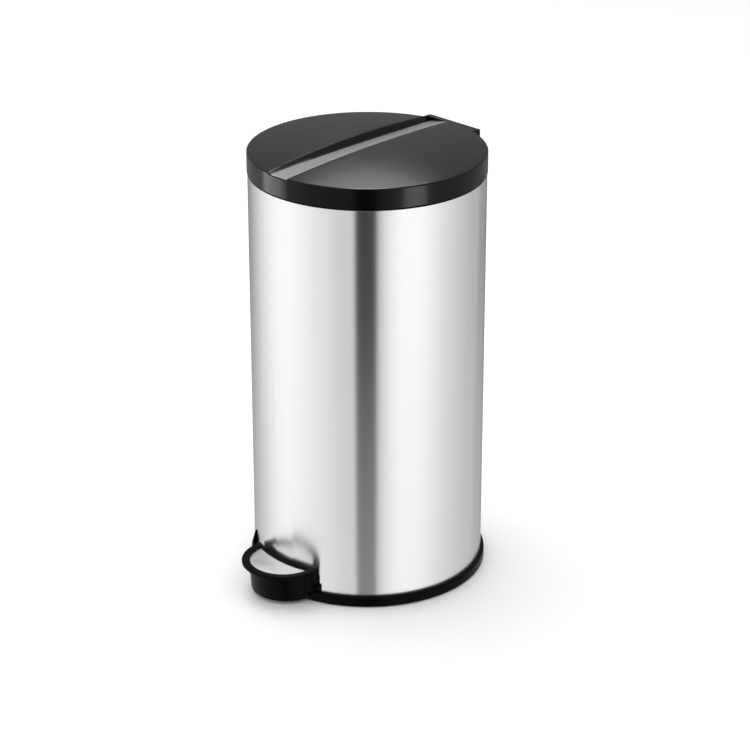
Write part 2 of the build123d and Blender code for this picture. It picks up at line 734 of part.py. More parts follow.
def lid_shell():
    outside = lid_block(0, LID_BOTTOM)
    level = [e for e in outside.edges() if e.bounding_box().size.Z < 0.1]
    rim = [e for e in level if e.bounding_box().min.Z > LID_EDGE - 1]
    outside = fillet(rim, LID_EDGE_FILLET)
    housing_low = HINGE_Z + KNUCKLE_R + 0.8
    back = HINGE_Y + HOUSING_BEHIND
    housing = box(-HOUSING_HALF, HOUSING_HALF, SHELL_R - 30, back, housing_low, LID_EDGE)
    housing = fillet(housing.edges().filter_by(Axis.Z).group_by(Axis.Y)[-1], 3)
    housing_void = box(
        HOUSING_WALL - HOUSING_HALF,
        HOUSING_HALF - HOUSING_WALL,
        SHELL_R - 20,
        back - HOUSING_WALL,
        housing_low - 1,
        LID_EDGE - HOUSING_WALL,
    )
    skirt_wall = ring(LID_R, LID_R - LID_T, LID_BOTTOM, LID_EDGE - 1)
    hollow = lid_block(LID_T, LID_BOTTOM - 1) - channel_trough()
    shell = outside + housing - hollow
    shell = shell - (housing_void - skirt_wall - lid_block(0, LID_BOTTOM) - channel_trough())
    shell = shell - (housing_void & post(LID_R - LID_T, 0, LID_EDGE - HOUSING_WALL) - channel_trough())
    shell = shell - box(-HOUSING_HALF, HOUSING_HALF, SHELL_R / 2, back + 9, LID_BOTTOM - 1, housing_low)
    shell = shell - channel_cut()
    for side in (-1, 1):
        x0, x1 = sorted((side * (KNUCKLE_OUT + MOVE_GAP), side * (KNUCKLE_OUT + MOVE_GAP + LUG_T)))
        lug = box(x0, x1, HINGE_Y - KNUCKLE_R, back - 0.5, HINGE_Z, LID_EDGE - 1)
        lug = lug + bar_x(KNUCKLE_R, x0, x1, HINGE_Y, HINGE_Z)
        shell = shell + (lug - bar_x(PIN_R + PIN_PLAY, x0 - 1, x1 + 1, HINGE_Y, HINGE_Z))
    for x, y in liner_bosses():
        boss = post(LINER_BOSS_R, LINER_TOP, dome_height(x, y) - LID_T / 2, x, y)
        shell = shell + boss - post(SMALL_SCREW_R, LINER_TOP - 1, LINER_TOP + LINER_SCREW_IN, x, y)
    return shell


def lid_liner():
    liner = post(LINER_R, LINER_BOTTOM, LINER_TOP)
    liner = liner + ring(LINER_R, LINER_R - LINER_RIM_W, LINER_BOTTOM - LINER_RIM_H, LINER_BOTTOM)
    liner = liner - box(-3, CRANK_X + CRANK_T + 4, SHELL_R - 20, SHELL_R, 0, LINER_BOTTOM)
    for x, y in liner_bosses():
        liner = liner - post(SMALL_SCREW_R, LINER_BOTTOM - 1, LINER_TOP + 1, x, y)
    for y in lever_screw_places():
        liner = liner + post(LINER_BOSS_R, LINER_TOP, LINER_TOP + LINER_T, LEVER_SCREW_X, y)
        liner = liner - post(SMALL_SCREW_R, LINER_BOTTOM - 1, LINER_TOP + LINER_T + 1, LEVER_SCREW_X, y)
    return liner


def liner_screws():
    low = LINER_BOTTOM
    top = LINER_TOP + LINER_SCREW_IN
    return group(
        [
            post(SMALL_HEAD_R, low - HEAD_T, low, x, y) + post(SMALL_SCREW_R, low, top, x, y)
            for x, y in liner_bosses()
        ]
    )


def lever_screw_places():
    return (SHELL_R - 35, SHELL_R - 22)


def lid_lever():
    """The crank: a plate with a slotted eye for the rod's hook, bent over to a flange under the liner."""
    inner = HINGE_Y - (CRANK_R - EYE_TRAVEL) * math.cos(HALF_OPEN)
    inner_z = HINGE_Z - (CRANK_R - EYE_TRAVEL) * math.sin(HALF_OPEN)
    x0, x1 = CRANK_X, CRANK_X + CRANK_T
    edge = HINGE_Y - PIN_R - 1.5
    web = Polyline(
        (SHELL_R - 39, LINER_BOTTOM),
        (edge - 2, LINER_BOTTOM),
        (edge - 2, HINGE_Z + 6),
        (edge, HINGE_Z + 4),
        (edge, HINGE_Z - 1),
        (edge + 1.2, HINGE_Z - 3.5),
        (edge + 1.2, SHELL_TOP + MOVE_GAP + 0.2),
        (ROD_Y + EYE_R, SHELL_TOP + MOVE_GAP + 0.2),
        (ROD_Y + EYE_R, EYE_Z),
        (ROD_Y, EYE_Z),
        (ROD_Y - EYE_R * 0.9, EYE_Z + 1),
        (SHELL_R - 12, HINGE_Z - 2),
        (SHELL_R - 20, HINGE_Z + 5),
        (SHELL_R - 39, LINER_BOTTOM - 4),
        close=True,
    )
    plate = Pos(x0, 0, 0) * extrude(Plane.YZ * make_face(web), CRANK_T)
    plate = plate + bar_x(EYE_R, x0, x1, ROD_Y, EYE_Z)
    for y, z in ((ROD_Y, EYE_Z), (inner, inner_z)):
        plate = plate - bar_x(SLOT_R, x0 - 1, x1 + 1, y, z)
    middle = Pos((x0 + x1) / 2, (ROD_Y + inner) / 2, (EYE_Z + inner_z) / 2)
    plate = plate - middle * Rot(math.degrees(HALF_OPEN), 0, 0) * Box(CRANK_T + 2, EYE_TRAVEL, 2 * SLOT_R)
    low = LINER_BOTTOM - LEVER_FLANGE_T
    flange = box(LEVER_SCREW_X - 5, x1, SHELL_R - 41, SHELL_R - 16, low, LINER_BOTTOM)
    for y in lever_screw_places():
        flange = flange - post(SMALL_SCREW_R, low - 1, LINER_BOTTOM + 1, LEVER_SCREW_X, y)
    return plate + flange


def lever_screws():
    x = LEVER_SCREW_X
    low = LINER_BOTTOM - LEVER_FLANGE_T
    top = LINER_TOP + LINER_T
    return group(
        [
            post(SMALL_HEAD_R, low - HEAD_T, low, x, y) + post(SMALL_SCREW_R, low, top, x, y)
            for y in lever_screw_places()
        ]
    )


def lid_buffers():
    """Rubber stops under the liner's rim, which the lid closes on."""
    low = COLLAR_TOP + MOVE_GAP
    places = around(LINER_R - LINER_RIM_W / 2, 4, 45)
    return group([post(BUFFER_R, low, LINER_BOTTOM - LINER_RIM_H, x, y) for x, y in places])


PIECES = {
    "outer_shell": outer_shell,
    "base_ring": base_ring,
    "foot_ring": foot_ring,
    "base_pan": base_pan,
    "base_screws": base_screws,
    "pedal_slot_trim": pedal_slot_trim,
    "pivot_bracket": pivot_bracket,
    "bracket_screws": bracket_screws,
    "pivot_bushes": pivot_bushes,
    "rod_guide_lower": lambda: rod_guide(90.0, 104.0),
    "rod_guide_upper": lambda: rod_guide(SHELL_TOP - 67, SHELL_TOP - 53),
    "rim_collar": rim_collar,
    "hinge_bracket": hinge_bracket,
    "hinge_screws": hinge_screws,
    "hinge_pin": hinge_pin,
    "inner_bucket": inner_bucket,
    "bucket_bail": bucket_bail,
    "bail_grip": bail_grip,
    "pedal_lever": pedal_lever,
    "lever_shoe": lever_shoe,
    "pivot_pin": pivot_pin,
    "pin_clips": pin_clips,
    "pedal_frame": pedal_frame,
    "pedal_plate": pedal_plate,
    "pedal_screws": pedal_screws,
    "push_rod": push_rod,
    "rod_foot": rod_foot,
    "lid_shell": lid_shell,
    "lid_strip": lid_strip,
    "lid_liner": lid_liner,
    "liner_screws": liner_screws,
    "lid_lever": lid_lever,
    "lever_screws": lever_screws,
    "lid_buffers": lid_buffers,
}

os.makedirs("parts", exist_ok=True)
for name, make in PIECES.items():
    export_step(make(), f"parts/{name}.step")
print("rod lift mm", round(LIFT, 3), "hinge", HINGE_Y, HINGE_Z, "rod y", round(ROD_Y, 3))
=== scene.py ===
import json
import math

import bmesh
import bpy
from mathutils import Matrix, Vector

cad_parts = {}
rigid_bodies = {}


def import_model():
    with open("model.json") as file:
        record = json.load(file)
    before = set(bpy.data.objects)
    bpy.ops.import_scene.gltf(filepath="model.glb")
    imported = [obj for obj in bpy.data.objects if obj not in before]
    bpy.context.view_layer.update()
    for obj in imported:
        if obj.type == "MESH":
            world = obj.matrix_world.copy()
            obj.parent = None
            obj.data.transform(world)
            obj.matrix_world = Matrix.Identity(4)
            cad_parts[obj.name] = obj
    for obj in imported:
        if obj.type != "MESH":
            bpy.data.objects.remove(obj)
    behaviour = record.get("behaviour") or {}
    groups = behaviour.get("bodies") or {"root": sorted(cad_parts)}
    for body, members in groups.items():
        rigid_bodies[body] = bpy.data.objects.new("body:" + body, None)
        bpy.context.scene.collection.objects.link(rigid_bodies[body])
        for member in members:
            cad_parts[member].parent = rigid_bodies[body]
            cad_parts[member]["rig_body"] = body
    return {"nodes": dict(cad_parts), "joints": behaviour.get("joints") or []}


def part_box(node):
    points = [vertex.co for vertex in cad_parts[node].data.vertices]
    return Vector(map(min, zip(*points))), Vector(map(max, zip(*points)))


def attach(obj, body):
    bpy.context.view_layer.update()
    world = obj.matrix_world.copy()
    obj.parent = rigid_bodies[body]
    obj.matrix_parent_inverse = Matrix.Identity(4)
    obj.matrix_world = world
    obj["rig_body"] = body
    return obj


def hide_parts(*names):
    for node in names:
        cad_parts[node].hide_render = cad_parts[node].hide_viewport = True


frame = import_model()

bpy.context.view_layer.update()
MM = 0.001
ROUND = 2 * math.pi


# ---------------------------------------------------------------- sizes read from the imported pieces
def span(node):
    """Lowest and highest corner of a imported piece, in millimetres."""
    low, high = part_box(node)
    return low / MM, high / MM


def joint(name):
    """Where a joint's axis lies, in millimetres."""
    found = next(j for j in frame["joints"] if j["name"] == name)
    return Vector(found["pos_m"]) / MM


SHELL_LOW, SHELL_HIGH = span("outer_shell")
SHELL_R = SHELL_HIGH.x
SHELL_WALL = 0.7
RING_LOW, RING_HIGH = span("base_ring")
SLOT_HALF = 16.0
SLOT_LOW, SLOT_TOP = 16.3, span("pedal_slot_trim")[1].z - 20.0
COLLAR_LOW, COLLAR_HIGH = span("rim_collar")
LID_HIGH = span("lid_shell")[1]
LID_R = LID_HIGH.x
LID_BOTTOM = COLLAR_HIGH.z + 0.5
LID_TOP = LID_HIGH.z
LID_CROWN = 4.4
LID_EDGE = LID_TOP - LID_CROWN
LID_WALL = 1.6
LID_ROUNDING = 1.5
DOME_R = (LID_R**2 + LID_CROWN**2) / (2 * LID_CROWN)
LINER_LOW, LINER_HIGH = span("lid_liner")
BUCKET_LOW, BUCKET_HIGH = span("inner_bucket")
PEDAL_LOW, PEDAL_HIGH = span("pedal_frame")
PEDAL_R = PEDAL_HIGH.x
PEDAL_Y = PEDAL_LOW.y + PEDAL_R
HINGE = joint("lid_hinge")


# ---------------------------------------------------------------- shaping
def rounded(corners, steps=4):
    """An outline from its corners; a third number rounds a corner off over that distance."""
    points = []
    for i, corner in enumerate(corners):
        here = Vector(corner[:2])
        if len(corner) < 3:
            points.append(here)
            continue
        before = Vector(corners[i - 1][:2])
        after = Vector(corners[(i + 1) % len(corners)][:2])
        start = here + (before - here).normalized() * corner[2]
        end = here + (after - here).normalized() * corner[2]
        for k in range(steps + 1):
            t = k / steps
            points.append(start.lerp(here, t).lerp(here.lerp(end, t), t))
    return points


def chained(bm, points, closed):
    """New vertices in a row, with edges between them."""
    verts = [bm.verts.new(p) for p in points]
    pairs = list(zip(verts, verts[1:])) + ([(verts[-1], verts[0])] if closed else [])
    for a, b in pairs:
        bm.edges.new((a, b))
    return verts


def turned(corners, closed=True, steps=256, about=(0, 0)):
    """A shape turned about an upright axis from its (radius, height) outline."""
    bm = bmesh.new()
    chained(bm, [(p.x, 0, p.y) for p in rounded(corners)], closed)
    bmesh.ops.spin(
        bm,
        geom=bm.verts[:] + bm.edges[:],
        cent=(0, 0, 0),
        axis=(0, 0, 1),
        angle=ROUND,
        steps=steps,
        use_merge=True,
    )
    bmesh.ops.translate(bm, vec=(about[0], about[1], 0), verts=bm.verts)
    return tidy(bm)


def lofted(rows, closed=False):
    """A skin through rows of points, made by pulling the first row's edges from row to row."""
    bm = bmesh.new()
    line = chained(bm, rows[0], closed)
    edges = bm.edges[:]
    for row in rows[1:]:
        grown = bmesh.ops.extrude_edge_only(bm, edges=edges)["geom"]
        fresh = {v for v in grown if isinstance(v, bmesh.types.BMVert)}
        after = []
        for v in line:
            after.append(next(e.other_vert(v) for e in v.link_edges if e.other_vert(v) in fresh))
        for v, p in zip(after, row):
            v.co = p
        line = after
        pairs = list(zip(line, line[1:])) + ([(line[-1], line[0])] if closed else [])
        edges = [bm.edges.get(pair) for pair in pairs]
    return bm


def capped(bm):
    """The open ends closed with flat faces."""
    bmesh.ops.holes_fill(bm, edges=[e for e in bm.edges if e.is_boundary], sides=0)
    return tidy(bm)


def tidy(bm):
    """Doubled points merged, slivers taken out and all faces turned outwards."""
    bmesh.ops.remove_doubles(bm, verts=bm.verts, dist=1e-4)
    bmesh.ops.dissolve_degenerate(bm, edges=bm.edges, dist=1e-5)
    bmesh.ops.recalc_face_normals(bm, faces=bm.faces)
    return bm


def block(low, high, edge=0.0, steps=3):
    """A box between two corners, its edges rounded."""
    bm = bmesh.new()
    low, high = Vector(low), Vector(high)
    bmesh.ops.create_cube(bm, size=1)
    bmesh.ops.scale(bm, vec=high - low, verts=bm.verts)
    bmesh.ops.translate(bm, vec=(low + high) / 2, verts=bm.verts)
    if edge:
        soften(bm, bm.edges[:], edge, steps)
    return bm


def rod(radius, start, end, steps=48, edge=0.0):
    """A round bar between two points."""
    bm = bmesh.new()
    start, end = Vector(start), Vector(end)
    aimed = (end - start).to_track_quat("Z", "Y").to_matrix().to_4x4()
    bmesh.ops.create_cone(
        bm,
        cap_ends=True,
        segments=steps,
        radius1=radius,
        radius2=radius,
        depth=(end - start).length,
        matrix=Matrix.Translation((start + end) / 2) @ aimed,
    )
    if edge:
        soften(bm, [e for e in bm.edges if e.calc_face_angle(0) > 1], edge, 2)
    return bm


def soften(bm, edges, width, steps=2):
    """The given edges rounded off over a width."""
    bmesh.ops.bevel(
        bm,
        geom=edges,
        offset=width,
        offset_type="OFFSET",
        segments=steps,
        profile=0.5,
        affect="EDGES",
        material=-1,
        clamp_overlap=True,
    )
    return bm


def together(*parts):
    """Several shapes in one mesh, side by side."""
    whole = parts[0]
    for part in parts[1:]:
        mesh = bpy.data.meshes.new("part")
        part.to_mesh(mesh)
        whole.from_mesh(mesh)
        bpy.data.meshes.remove(mesh)
        part.free()
    return whole


def worked(bm, how, tool):
    """bm after UNION, DIFFERENCE or INTERSECT with another closed shape."""
    made = []
    for shape in (bm, tool):
        mesh = bpy.data.meshes.new("work")
        tidy(shape).to_mesh(mesh)
        shape.free()
        thing = bpy.data.objects.new("work", mesh)
        bpy.context.scene.collection.objects.link(thing)
        made.append(thing)
    cut = made[0].modifiers.new("work", "BOOLEAN")
    cut.operation, cut.solver, cut.object = how, "EXACT", made[1]
    bpy.context.view_layer.update()
    result = bpy.data.meshes.new_from_object(made[0].evaluated_get(bpy.context.evaluated_depsgraph_get()))
    out = bmesh.new()
    out.from_mesh(result)
    bpy.data.meshes.remove(result)
    for thing in made:
        mesh = thing.data
        bpy.data.objects.remove(thing)
        bpy.data.meshes.remove(mesh)
    return tidy(out)


def piece(name, bm, body, finish, stands_for=(), sharp=32):
    """Finishes a shape: metres, smooth shading with sharp edges kept, material and body."""
    bmesh.ops.scale(bm, vec=(MM, MM, MM), verts=bm.verts)
    mesh = bpy.data.meshes.new(name)
    bm.to_mesh(mesh)
    bm.free()
    mesh.shade_smooth()
    mesh.set_sharp_from_angle(angle=math.radians(sharp))
    mesh.materials.append(finish)
    made = bpy.data.objects.new(name, mesh)
    bpy.context.scene.collection.objects.link(made)
    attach(made, body)
    if stands_for:
        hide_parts(*stands_for)
    return made


def refined(node, finish, edge=0.0, sharp=30):
    """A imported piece's own shape, its triangles merged, its sharp edges eased and its round faces smooth."""
    packed = frame["nodes"][node]
    bm = bmesh.new()
    bm.from_mesh(packed.data)
    bmesh.ops.scale(bm, vec=(1 / MM,) * 3, verts=bm.verts)
    bmesh.ops.remove_doubles(bm, verts=bm.verts, dist=1e-3)
    bmesh.ops.dissolve_limit(bm, angle_limit=math.radians(0.5), verts=bm.verts, edges=bm.edges)
    if edge:
        soften(bm, [e for e in bm.edges if e.calc_face_angle(0) > math.radians(40)], edge)
    return piece(node + "_finished", bm, packed["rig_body"], finish, [node], sharp)


# ---------------------------------------------------------------- finishes
class Wire:
    """A node's output that takes part in sums."""

    def __init__(self, bench, socket):
        self.bench = bench
        self.socket = socket

    def sum(self, operation, *values):
        inputs = {i: v for i, v in enumerate(values)}
        return self.bench.add("ShaderNodeMath", inputs, operation=operation)

    def __add__(self, other):
        return self.sum("ADD", self, other)

    def __sub__(self, other):
        return self.sum("SUBTRACT", self, other)

    def __rsub__(self, other):
        return self.sum("SUBTRACT", other, self)

    def __mul__(self, other):
        return self.sum("MULTIPLY", self, other)

    def __truediv__(self, other):
        return self.sum("DIVIDE", self, other)

    def __pow__(self, other):
        return self.sum("POWER", self, other)

    __radd__ = __add__


class Bench:
    """Adds nodes to one node tree."""

    def __init__(self, tree):
        self.tree = tree

    def add(self, kind, inputs=None, output=0, stops=None, **settings):
        node = self.tree.nodes.new(kind)
        for key, value in settings.items():
            setattr(node, key, value)
        if stops:
            ramp = node.color_ramp
            while len(ramp.elements) < len(stops):
                ramp.elements.new(0.5)
            for element, (place, _) in zip(ramp.elements, stops):
                element.position = place
            for element, (_, tone) in zip(ramp.elements, stops):
                element.color = (tone, tone, tone, 1)
        for key, value in (inputs or {}).items():
            self.feed(node.inputs[key], value)
        return Wire(self, node.outputs[output])

    def feed(self, socket, value):
        if isinstance(value, Wire):
            self.tree.links.new(value.socket, socket)
        elif isinstance(value, (tuple, list)) and len(value) == 3 and socket.type == "RGBA":
            socket.default_value = (*value, 1)
        else:
            socket.default_value = value

    def split(self, vector):
        """The three parts of a vector."""
        node = self.tree.nodes.new("ShaderNodeSeparateXYZ")
        self.tree.links.new(vector.socket, node.inputs[0])
        return [Wire(self, node.outputs[i]) for i in range(3)]

    def vector(self, x, y, z):
        return self.add("ShaderNodeCombineXYZ", {0: x, 1: y, 2: z})

    def noise(self, place, scale, detail=2.0, rough=0.5):
        return self.add(
            "ShaderNodeTexNoise", {"Vector": place, "Scale": scale, "Detail": detail, "Roughness": rough}
        )

    def spread(self, value, low, high, to_low, to_high):
        """A value moved from one range to another, held at the ends."""
        return self.add(
            "ShaderNodeMapRange",
            {"Value": value, "From Min": low, "From Max": high, "To Min": to_low, "To Max": to_high},
        )

    def mixed(self, share, first, second):
        return self.add(
            "ShaderNodeMix", {0: share, 6: first, 7: second}, output=2, data_type="RGBA", clamp_factor=True
        )


class Finish(Bench):
    """One material on the Principled shader."""

    def __init__(self, name, **sockets):
        self.material = bpy.data.materials.new(name)
        self.material.use_nodes = True
        super().__init__(self.material.node_tree)
        self.shader = next(n for n in self.tree.nodes if n.type == "BSDF_PRINCIPLED")
        self.set(**sockets)
        self.place = self.add("ShaderNodeTexCoord", output="Object")
        self.x, self.y, self.z = self.split(self.place)

    def set(self, **sockets):
        for key, value in sockets.items():
            self.feed(self.shader.inputs[key.replace("_", " ")], value)

    def toned(self, share, shade, darker, lighter):
        """The base colour, moving between a darker and a lighter tone of one shade."""
        self.set(Base_Color=self.mixed(share, [c * darker for c in shade], [c * lighter for c in shade]))

    def bump(self, height, strength, distance):
        self.set(Normal=self.add(
            "ShaderNodeBump", {"Height": height, "Strength": strength, "Distance": distance}, output="Normal"
        ))


def brushed_steel(name, shade, rough, lines=1400.0):
    """Steel brushed round an upright axis: hairlines run level, so a light smears upwards."""
    f = Finish(name, Metallic=1.0, Anisotropic=0.9, Anisotropic_Rotation=0.25)
    turn = f.add("ShaderNodeMath", {0: f.x, 1: 0 - f.y}, operation="ARCTAN2")
    fine = f.noise(f.vector(turn * 9.0, 0.0, f.z * lines), 1.0, 3.0, 0.6)
    broad = f.noise(f.vector(turn * 2.5, 3.0, f.z * lines * 0.14), 1.0, 2.0)
    smear = f.noise(f.vector(turn * 1.5, 7.0, f.z * 6.0), 1.0, 1.0)
    f.toned(fine * 0.5 + broad * 0.3 + smear * 0.2, shade, 0.93, 1.05)
    f.set(Roughness=rough + (fine - 0.5) * 0.08 + (smear - 0.5) * 0.02)
    f.bump(fine, 0.05, 0.0001)
    return f.material


def plate_steel(name, shade, rough):
    """Flat steel, brushed along X."""
    f = Finish(name, Metallic=1.0)
    fine = f.noise(f.vector(f.x * 60.0, f.y * 1800.0, f.z * 1800.0), 1.0, 3.0, 0.6)
    worn = f.noise(f.place, 35.0, 3.0)
    f.toned(fine * 0.7 + worn * 0.3, shade, 0.97, 1.03)
    f.set(Roughness=rough + (fine - 0.5) * 0.08)
    f.bump(fine, 0.02, 0.0001)
    return f.material


def plastic(name, shade, rough, grain=900.0, depth=0.06, gloss=0.5):
    """Moulded plastic: fine grain, faint flow marks and slightly uneven gloss."""
    f = Finish(name, Specular_IOR_Level=gloss)
    fine = f.noise(f.place, grain, 2.0)
    flow = f.noise(f.place, 18.0, 3.0)
    f.toned(flow, shade, 0.8, 1.25)
    f.set(Roughness=rough + (flow - 0.5) * 0.08 + (fine - 0.5) * 0.05)
    f.bump(fine, depth, 0.0002)
    return f.material


def lacquer(name, shade, rough, gloss):
    """Satin black lacquer with a faint orange-peel surface."""
    f = Finish(name, Specular_IOR_Level=gloss)
    peel = f.noise(f.place, 420.0, 2.0)
    cloud = f.noise(f.place, 9.0, 2.0)
    f.toned(cloud, shade, 0.85, 1.2)
    f.set(Roughness=rough + (cloud - 0.5) * 0.05 + (peel - 0.5) * 0.04)
    f.bump(peel, 0.04, 0.0002)
    return f.material


def strip_silver(name, shade, rough):
    """Satin aluminium, brushed along the strip."""
    f = Finish(name, Metallic=1.0)
    lean = f.x + f.y * 0.074
    fine = f.noise(f.vector(lean * 2200.0, f.y * 40.0, 0.0), 1.0, 3.0, 0.6)
    f.toned(fine, shade, 0.88, 1.08)
    f.set(Roughness=rough + (fine - 0.5) * 0.12)
    f.bump(fine, 0.06, 0.0001)
    return f.material


def zinc(name, shade, rough):
    """Bright zinc plate: a faint spangle and a fine drawn grain."""
    f = Finish(name, Metallic=1.0)
    spangle = f.add("ShaderNodeTexVoronoi", {"Vector": f.place, "Scale": 260.0}, output="Color")
    tone = f.split(spangle)[0]
    fine = f.noise(f.place, 1400.0, 2.0)
    f.toned(tone, shade, 0.86, 1.08)
    f.set(Roughness=rough + (tone - 0.5) * 0.10 + (fine - 0.5) * 0.06)
    f.bump(fine, 0.05, 0.0001)
    return f.material


def rubber(name, shade):
    """Dull rubber with a fine, matt grain."""
    f = Finish(name, Specular_IOR_Level=0.35)
    fine = f.noise(f.place, 1500.0, 3.0)
    f.toned(fine, shade, 0.8, 1.3)
    f.set(Roughness=0.75 + (fine - 0.5) * 0.1)
    f.bump(fine, 0.2, 0.0002)
    return f.material


STEEL = brushed_steel("brushed_shell", (0.78, 0.78, 0.785), 0.2)
TREAD = plate_steel("tread_steel", (0.76, 0.76, 0.77), 0.28)
ZINC = zinc("zinc_steel", (0.6, 0.61, 0.63), 0.32)
PIN = plate_steel("pin_steel", (0.72, 0.72, 0.74), 0.16)
BLACK = plastic("black_plastic", (0.0015, 0.0015, 0.0018), 0.22, gloss=0.04)
LID_BLACK = lacquer("black_lid", (0.0015, 0.0015, 0.0017), 0.19, 0.14)
INNER = plastic("inner_plastic", (0.03, 0.03, 0.032), 0.5, 700.0, 0.1)
BUCKET = plastic("bucket_plastic", (0.05, 0.05, 0.053), 0.48, 500.0, 0.12)
NYLON = plastic("nylon", (0.62, 0.61, 0.58), 0.42, 800.0, 0.05)
RUBBER = rubber("foot_rubber", (0.02, 0.02, 0.02))
STRIP = strip_silver("silver_strip", (0.58, 0.58, 0.59), 0.34)


# ---------------------------------------------------------------- body and base
def steel_shell():
    """The steel tube, with the pedal lever's slot in front and the lid lever's notch at the back."""
    low, high = SHELL_LOW.z, SHELL_HIGH.z
    inside = SHELL_R - SHELL_WALL
    tube = turned([(inside, low), (SHELL_R, low, 0.2), (SHELL_R, high, 0.2), (inside, high)], steps=288)
    slot = block((-SLOT_HALF, -SHELL_R - 2, SLOT_LOW), (SLOT_HALF, -SHELL_R / 2, SLOT_TOP))
    notch_left, notch_right, notch_low = -5.0, 12.0, COLLAR_LOW.z + 6
    notch = block((notch_left, SHELL_R - 20, notch_low), (notch_right, SHELL_R + 2, high + 5))
    tube = worked(tube, "DIFFERENCE", together(slot, notch))
    piece("steel_shell", tube, "bin", STEEL, ["outer_shell"])


def base():
    """The black base ring, which the shell stands in, and what belongs to it."""
    outer, top, low = RING_HIGH.x, RING_HIGH.z, RING_LOW.z
    groove = SHELL_R - SHELL_WALL - 0.1
    opening = 133.0
    corners = [
        (opening, low),
        (outer, low, 1.2),
        (outer, top, 2.6),
        (SHELL_R + 0.1, top, 0.3),
        (SHELL_R + 0.1, SHELL_LOW.z),
        (groove, SHELL_LOW.z),
        (groove, top - 3.0, 0.4),
        (groove - 3.0, top - 3.0, 0.4),
        (groove - 3.0, low + 4.0, 0.8),
        (opening, low + 4.0, 0.5),
    ]
    piece("base_ring_black", turned(corners, steps=288), "bin", BLACK, ["base_ring"])
    refined("foot_ring", RUBBER, 0.3)
    refined("base_pan", INNER, 0.3)
    refined("base_screws", ZINC)
    refined("pedal_slot_trim", BLACK, 0.4)


def collar():
    refined("rim_collar", BLACK, 0.3)


# ---------------------------------------------------------------- lid
CHANNEL_LEFT = (-20.0, -43.0)  # the channel's left edge at the front and at the back
CHANNEL_BOW = 5.0  # how far that edge bows to the left at the middle
CHANNEL_WALL = 5.0  # across, from the left edge down to the valley
CHANNEL_END = 2.5  # from the channel's back end to the lid's back edge
DEPTH_FRONT, DEPTH_FULL, DEPTH_BACK = 1.5, 8.0, 6.0
DEEPEST = 0.68  # share of the channel's length where it is deepest
RIM_CUT = 141.0  # from here to its end, the channel is cut out of the rim and the housing
STRIP_RIGHT = (15.0, -7.2)  # the strip's right edge at the front and at the back
STRIP_BED = 1.2  # how far the strip's bed lies below the lid at that edge
STRIP_WIDE, STRIP_THICK = 27.0, 1.2
HOUSING_HALF, HOUSING_FRONT, HOUSING_WALL = 45.0, 125.0, 2.2


def dome(x, y):
    """The height of the lid's top."""
    return LID_TOP - (x * x + y * y) / (2 * DOME_R)


def skew(front, back, y):
    """A straight line that slants from one place at the front to another at the back."""
    return front + (back - front) * (y + SHELL_R) / (2 * SHELL_R)


def channel_left(y):
    return skew(*CHANNEL_LEFT, y) - CHANNEL_BOW * max(0.0, 1 - (y / SHELL_R) ** 2)


def channel_valley(y):
    return channel_left(y) + CHANNEL_WALL


def strip_right(y):
    return skew(*STRIP_RIGHT, y)


def channel_depth(y):
    """How far the valley lies below the lid's top."""
    share = min(1.0, max(0.0, (y + LID_R) / (2 * LID_R - CHANNEL_END)))
    if share < DEEPEST:
        return DEPTH_FRONT + (DEPTH_FULL - DEPTH_FRONT) * math.sin(math.pi / 2 * share / DEEPEST)
    return DEPTH_FULL - (DEPTH_FULL - DEPTH_BACK) * ((share - DEEPEST) / (1 - DEEPEST)) ** 2


def channel_lines():
    """The channel's long lines from left to right: how far each lies from an edge, and its drop at y."""

    def wall(share):
        return (lambda y: channel_left(y) + CHANNEL_WALL * share, lambda y: channel_depth(y) * share)

    def floor(share):
        def across(y):
            valley = channel_valley(y)
            return valley + (strip_right(y) - valley) * share

        return (across, lambda y: channel_depth(y) * (1 - share) + STRIP_BED * share)

    def beside(line, off, drop):
        return (lambda y: line(y) + off, lambda y: drop)

    return [
        beside(channel_left, -0.9, 0.0),
        beside(channel_left, -0.35, 0.08),
        beside(channel_left, 0.0, 0.35),
        wall(0.2),
        wall(0.6),
        wall(0.95),
        floor(0.01),
        floor(0.05),
        floor(0.35),
        floor(0.7),
        beside(strip_right, -0.02, STRIP_BED),
        beside(strip_right, 0.0, 0.3),
        beside(strip_right, 0.25, 0.06),
        beside(strip_right, 0.8, 0.0),
    ]


def rim_crossing(line, radius, way):
    """Where a long line meets a circle, at the front (-1) or the back (+1)."""
    y = way * radius
    for _ in range(30):
        y = way * math.sqrt(radius**2 - line(y) ** 2)
    return y


